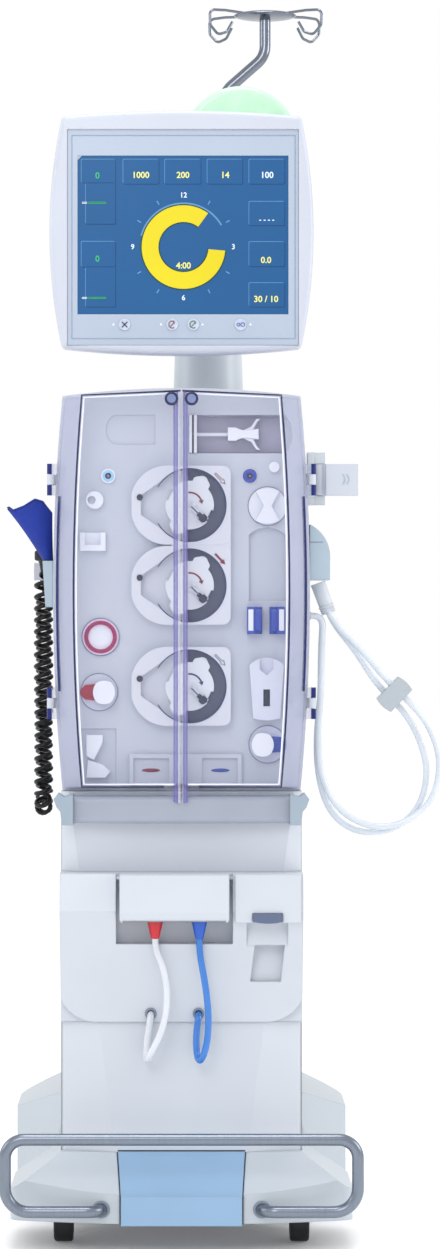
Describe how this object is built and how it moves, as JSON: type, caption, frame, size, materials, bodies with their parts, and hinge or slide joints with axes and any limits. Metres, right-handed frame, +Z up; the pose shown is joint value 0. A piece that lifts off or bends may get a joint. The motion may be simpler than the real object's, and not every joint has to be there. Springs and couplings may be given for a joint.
{
  "type": "dialysis machine",
  "caption": "Haemodialysis machine on castors: tilting touch monitor, blood pumps behind clear double doors, fluid cabinet with hose ports, infusion pole and front guard bar.",
  "frame": {"origin": "on the floor under the middle of the machine, at the middle of its width and depth", "axes": "+Z up, the front with screen and doors towards -Y, +X to the viewer's right when facing the screen"},
  "size_m": [0.6041, 0.66, 1.724],
  "materials": {
    "chassis_steel": "satin",
    "cabinet_paint": "satin",
    "white_plastic": "satin",
    "pedal_blue": "satin",
    "bar_steel": "polished",
    "castor_black": "satin",
    "wheel_rubber": "matte",
    "slate_plastic": "satin",
    "coupling_red": "gloss",
    "white_tube": "gloss",
    "blue_tube": "gloss",
    "grey_blue_plastic": "satin",
    "plate_violet": "satin",
    "inner_metal": "satin",
    "rotor_white": "gloss",
    "door_clear": "gloss",
    "grey_green_paint": "satin",
    "screen_blue": "gloss",
    "lamp_green": "gloss",
    "pole_chrome": "polished",
    "cuff_fabric": "woven",
    "hose_black": "satin"
  },
  "bodies": {
    "machine": {"base_chassis": "chassis_steel", "base_cover": "white_plastic", "guard_bar": "bar_steel", "lower_cabinet": "cabinet_paint", "front_panels": "cabinet_paint", "connector_shelf": "white_plastic", "hose_couplings": "coupling_red", "white_hose": "white_tube", "blue_hose": "blue_tube", "grab_rail": "grey_blue_plastic", "upper_cabinet": "cabinet_paint", "front_plate": "plate_violet", "pump_housings": "plate_violet", "pump_motors": "inner_metal", "line_sensors": "rotor_white", "clamp_seats": "slate_plastic", "line_guides": "rotor_white", "drip_chamber_holder": "rotor_white", "neck_column": "grey_green_paint", "pole_guide": "slate_plastic", "cuff_holder": "grey_blue_plastic", "pressure_cuff": "cuff_fabric", "curly_hose": "hose_black", "arm_clamp": "grey_green_paint", "hose_holder": "grey_blue_plastic", "loop_hose_front": "white_tube", "loop_hose_rear": "white_tube", "hose_clip": "rotor_white", "rear_panel": "cabinet_paint", "hydraulics_unit": "inner_metal"},
    "pedal": {"brake_pedal": "pedal_blue"},
    "fork_front_left": {"castor_fork_front_left": "castor_black"},
    "fork_front_right": {"castor_fork_front_right": "castor_black"},
    "fork_rear_left": {"castor_fork_rear_left": "castor_black"},
    "fork_rear_right": {"castor_fork_rear_right": "castor_black"},
    "wheel_front_left": {"castor_wheel_front_left": "wheel_rubber"},
    "wheel_front_right": {"castor_wheel_front_right": "wheel_rubber"},
    "wheel_rear_left": {"castor_wheel_rear_left": "wheel_rubber"},
    "wheel_rear_right": {"castor_wheel_rear_right": "wheel_rubber"},
    "flap": {"connector_flap": "white_plastic"},
    "button": {"port_button": "slate_plastic"},
    "top_rotor": {"top_pump_rotor": "rotor_white"},
    "middle_rotor": {"middle_pump_rotor": "rotor_white"},
    "bottom_rotor": {"bottom_pump_rotor": "rotor_white"},
    "top_crank": {"top_pump_crank": "slate_plastic"},
    "middle_crank": {"middle_pump_crank": "slate_plastic"},
    "bottom_crank": {"bottom_pump_crank": "slate_plastic"},
    "slider": {"syringe_slider": "rotor_white"},
    "left_plunger": {"left_clamp_plunger": "rotor_white"},
    "right_plunger": {"right_clamp_plunger": "rotor_white"},
    "door_left": {"left_door": "door_clear"},
    "door_right": {"right_door": "door_clear"},
    "yoke": {"monitor_yoke": "grey_green_paint"},
    "monitor": {"monitor_bezel": "white_plastic", "screen_panel": "screen_blue", "monitor_back": "white_plastic", "alarm_lamp": "lamp_green"},
    "pole": {"infusion_pole": "pole_chrome", "hook_head": "pole_chrome"},
    "arm": {"holder_arm": "white_plastic"}
  },
  "joints": [
    {"name": "pedal_hinge", "type": "hinge", "parent": "machine", "child": "pedal", "pos_m": [0, -0.234, 0.104], "axis": [1, 0, 0], "range_deg": [0, 5]},
    {"name": "swivel_front_left", "type": "hinge", "parent": "machine", "child": "fork_front_left", "pos_m": [-0.16, -0.22, 0.08], "axis": [0, 0, 1], "continuous": true},
    {"name": "swivel_front_right", "type": "hinge", "parent": "machine", "child": "fork_front_right", "pos_m": [0.16, -0.22, 0.08], "axis": [0, 0, 1], "continuous": true},
    {"name": "swivel_rear_left", "type": "hinge", "parent": "machine", "child": "fork_rear_left", "pos_m": [-0.172, 0.252, 0.08], "axis": [0, 0, 1], "continuous": true},
    {"name": "swivel_rear_right", "type": "hinge", "parent": "machine", "child": "fork_rear_right", "pos_m": [0.172, 0.252, 0.08], "axis": [0, 0, 1], "continuous": true},
    {"name": "spin_front_left", "type": "hinge", "parent": "fork_front_left", "child": "wheel_front_left", "pos_m": [-0.16, -0.2, 0.035], "axis": [1, 0, 0], "continuous": true},
    {"name": "spin_front_right", "type": "hinge", "parent": "fork_front_right", "child": "wheel_front_right", "pos_m": [0.16, -0.2, 0.035], "axis": [1, 0, 0], "continuous": true},
    {"name": "spin_rear_left", "type": "hinge", "parent": "fork_rear_left", "child": "wheel_rear_left", "pos_m": [-0.172, 0.272, 0.035], "axis": [1, 0, 0], "continuous": true},
    {"name": "spin_rear_right", "type": "hinge", "parent": "fork_rear_right", "child": "wheel_rear_right", "pos_m": [0.172, 0.272, 0.035], "axis": [1, 0, 0], "continuous": true},
    {"name": "flap_hinge", "type": "hinge", "parent": "machine", "child": "flap", "pos_m": [0, -0.257, 0.497], "axis": [-1, 0, 0], "range_deg": [0, 90]},
    {"name": "button_press", "type": "slide", "parent": "machine", "child": "button", "axis": [0, 1, 0], "range_m": [0, 0.003], "stiffness_N_per_m": 400},
    {"name": "top_pump_turn", "type": "hinge", "parent": "machine", "child": "top_rotor", "pos_m": [0.011, 0, 1], "axis": [0, -1, 0], "continuous": true},
    {"name": "middle_pump_turn", "type": "hinge", "parent": "machine", "child": "middle_rotor", "pos_m": [0.011, 0, 0.891], "axis": [0, -1, 0], "continuous": true},
    {"name": "bottom_pump_turn", "type": "hinge", "parent": "machine", "child": "bottom_rotor", "pos_m": [0.011, 0, 0.754], "axis": [0, -1, 0], "continuous": true},
    {"name": "top_crank_fold", "type": "hinge", "parent": "top_rotor", "child": "top_crank", "pos_m": [0.01383, -0.2205, 0.99717], "axis": [-0.7071, 0, -0.7071], "range_deg": [0, 90]},
    {"name": "middle_crank_fold", "type": "hinge", "parent": "middle_rotor", "child": "middle_crank", "pos_m": [0.01383, -0.2205, 0.88817], "axis": [-0.7071, 0, -0.7071], "range_deg": [0, 90]},
    {"name": "bottom_crank_fold", "type": "hinge", "parent": "bottom_rotor", "child": "bottom_crank", "pos_m": [0.01383, -0.2205, 0.75117], "axis": [-0.7071, 0, -0.7071], "range_deg": [0, 90]},
    {"name": "syringe_drive", "type": "slide", "parent": "machine", "child": "slider", "axis": [-1, 0, 0], "range_m": [0, 0.038]},
    {"name": "left_clamp_stroke", "type": "slide", "parent": "machine", "child": "left_plunger", "axis": [1, 0, 0], "range_m": [0, 0.005], "stiffness_N_per_m": 600},
    {"name": "right_clamp_stroke", "type": "slide", "parent": "machine", "child": "right_plunger", "axis": [-1, 0, 0], "range_m": [0, 0.005], "stiffness_N_per_m": 600},
    {"name": "left_door_hinge", "type": "hinge", "parent": "machine", "child": "door_left", "pos_m": [-0.178, -0.2, 0.88], "axis": [0, 0, -1], "range_deg": [0, 110]},
    {"name": "right_door_hinge", "type": "hinge", "parent": "machine", "child": "door_right", "pos_m": [0.178, -0.2, 0.88], "axis": [0, 0, 1], "range_deg": [0, 110]},
    {"name": "monitor_swivel", "type": "hinge", "parent": "machine", "child": "yoke", "pos_m": [0.038, 0.01, 1.3], "axis": [0, 0, 1], "range_deg": [-45, 45]},
    {"name": "monitor_tilt", "type": "hinge", "parent": "yoke", "child": "monitor", "pos_m": [0.038, -0.085, 1.37], "axis": [1, 0, 0], "range_deg": [-15, 15]},
    {"name": "pole_lift", "type": "slide", "parent": "machine", "child": "pole", "axis": [0, 0, 1], "range_m": [0, 0.26]},
    {"name": "arm_swing", "type": "hinge", "parent": "machine", "child": "arm", "pos_m": [0.19, -0.15, 1.036], "axis": [0, 0, -1], "range_deg": [-45, 60]}
  ]
}
